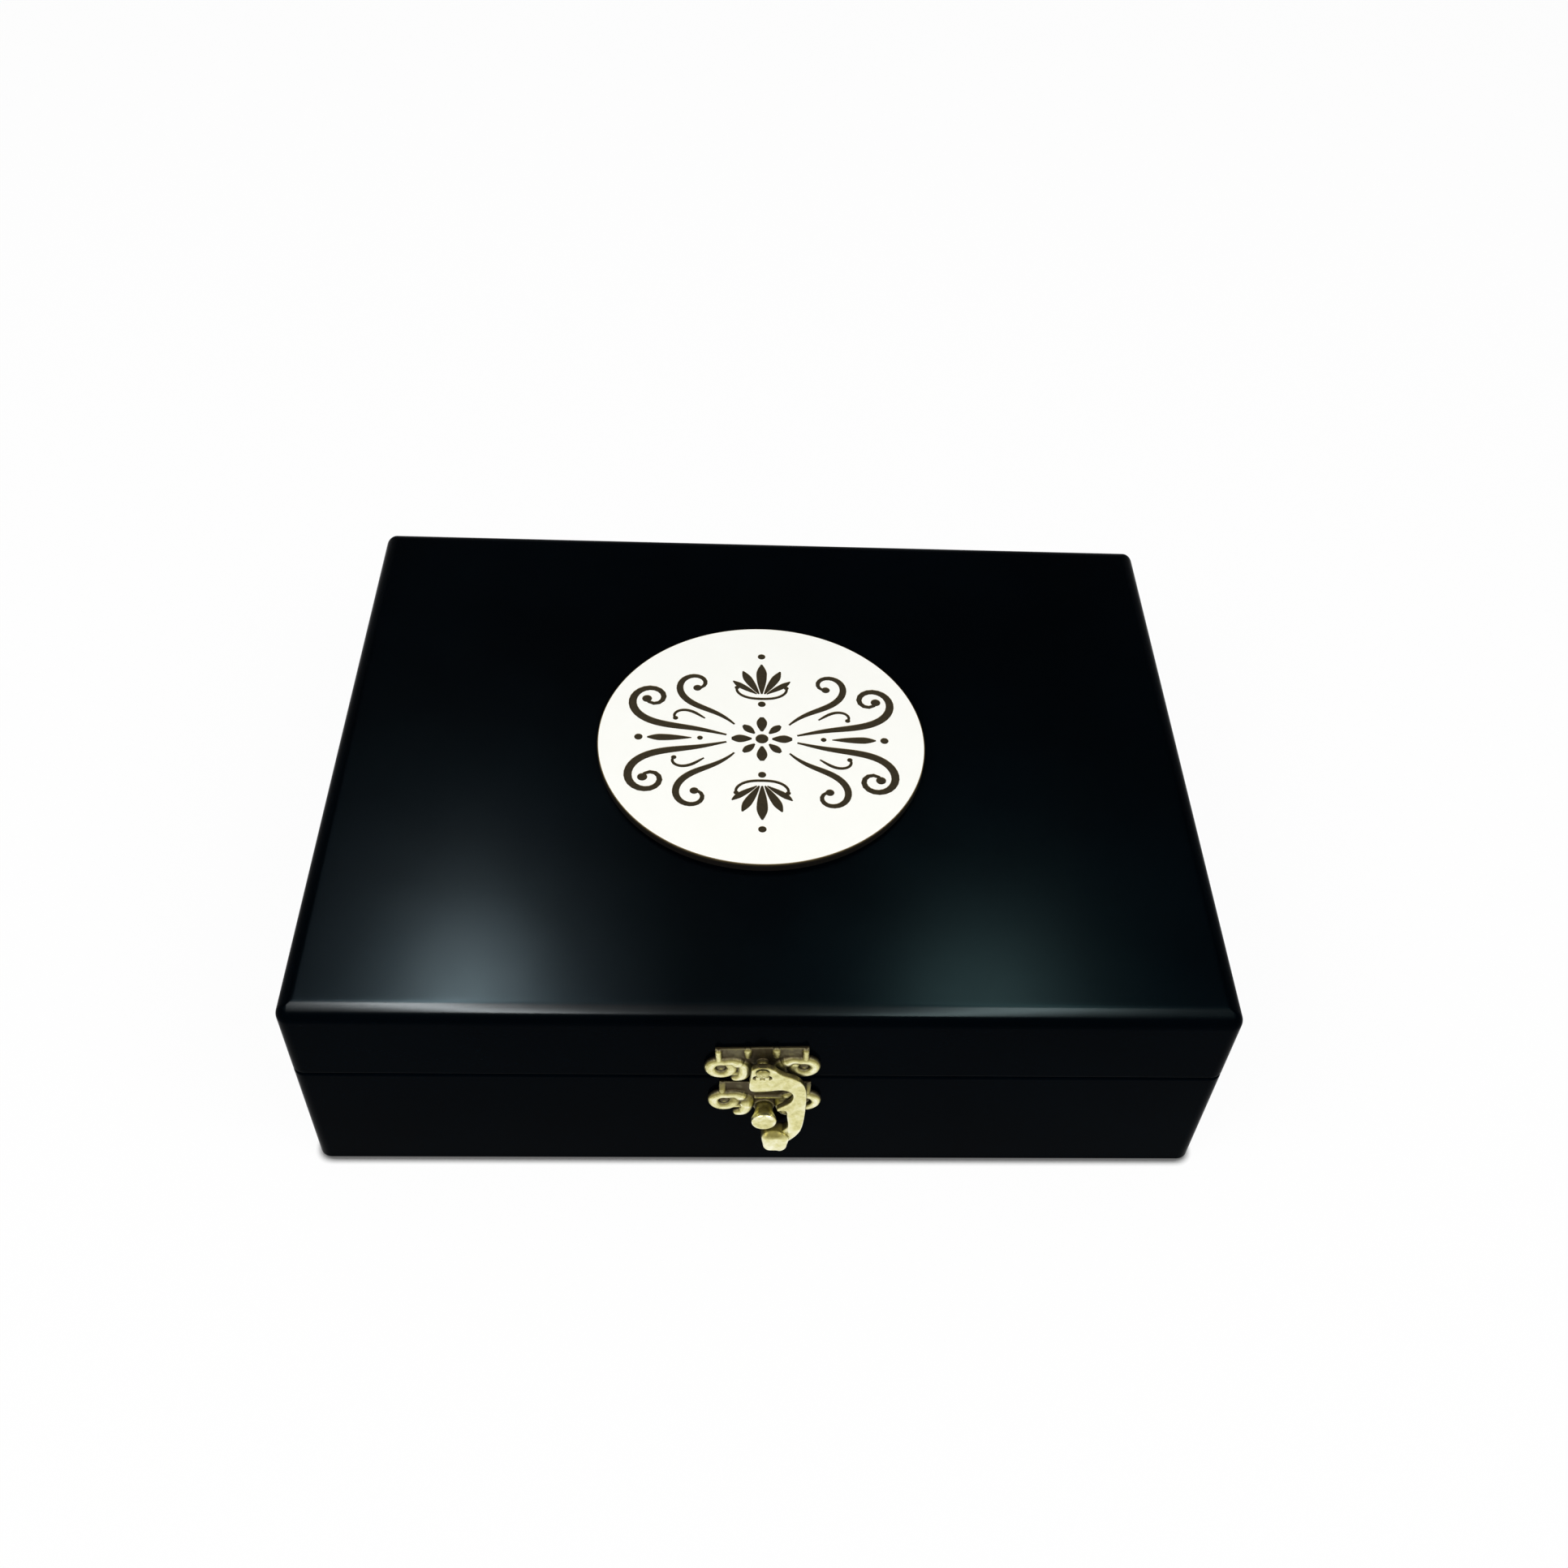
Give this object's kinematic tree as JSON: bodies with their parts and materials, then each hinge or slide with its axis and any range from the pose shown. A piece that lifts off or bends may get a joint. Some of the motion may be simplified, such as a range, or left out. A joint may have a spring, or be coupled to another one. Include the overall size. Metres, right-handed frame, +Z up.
{
  "type": "hinged deed box",
  "caption": "Low rectangular box for papers and keepsakes, with a hinged lid, a round plaque on top and a hook latch in front.",
  "frame": {"origin": "centre of the underside, midway between the outer faces of the walls", "axes": "+X to the right along the width, -Y out of the front face with the latch, +Z up through the lid"},
  "size_m": [0.26, 0.2079, 0.078],
  "materials": {
    "lacquer": "satin black lacquer",
    "felt": "short-napped black felt",
    "plaque": "matt cream coating, scorched brown at the cut edge",
    "hinge_brass": "brushed, lightly worn",
    "latch_brass": "bright plated casting",
    "steel": "drawn pin"
  },
  "bodies": {
    "base": {"base_front": "lacquer", "base_back": "lacquer", "base_left": "lacquer", "base_right": "lacquer", "base_floor": "lacquer", "base_lining": "felt", "hinge_base_leaf_left": "hinge_brass", "hinge_base_leaf_right": "hinge_brass", "hinge_pin_left": "steel", "hinge_pin_right": "steel", "hinge_base_screws": "hinge_brass", "latch_keeper_plate": "latch_brass", "latch_keeper_nails": "latch_brass", "latch_keeper_stud": "latch_brass"},
    "lid": {"lid_front": "lacquer", "lid_back": "lacquer", "lid_left": "lacquer", "lid_right": "lacquer", "lid_top": "lacquer", "plaque": "plaque", "hinge_lid_leaf_left": "hinge_brass", "hinge_lid_leaf_right": "hinge_brass", "hinge_lid_screws": "hinge_brass", "latch_upper_plate": "latch_brass", "latch_upper_nails": "latch_brass", "latch_hook_rivet": "latch_brass"},
    "hook": {"latch_hook": "latch_brass"}
  },
  "joints": [
    {"name": "lid_hinge", "type": "hinge", "parent": "base", "child": "lid", "pos_m": [0, 0.0984, 0.046], "axis": [-1, 0, 0], "range_deg": [0, 100]},
    {"name": "hook_swing", "type": "hinge", "parent": "lid", "child": "hook", "pos_m": [-0.0009, -0.1037, 0.055], "axis": [0, -1, 0], "range_deg": [0, 100]}
  ]
}
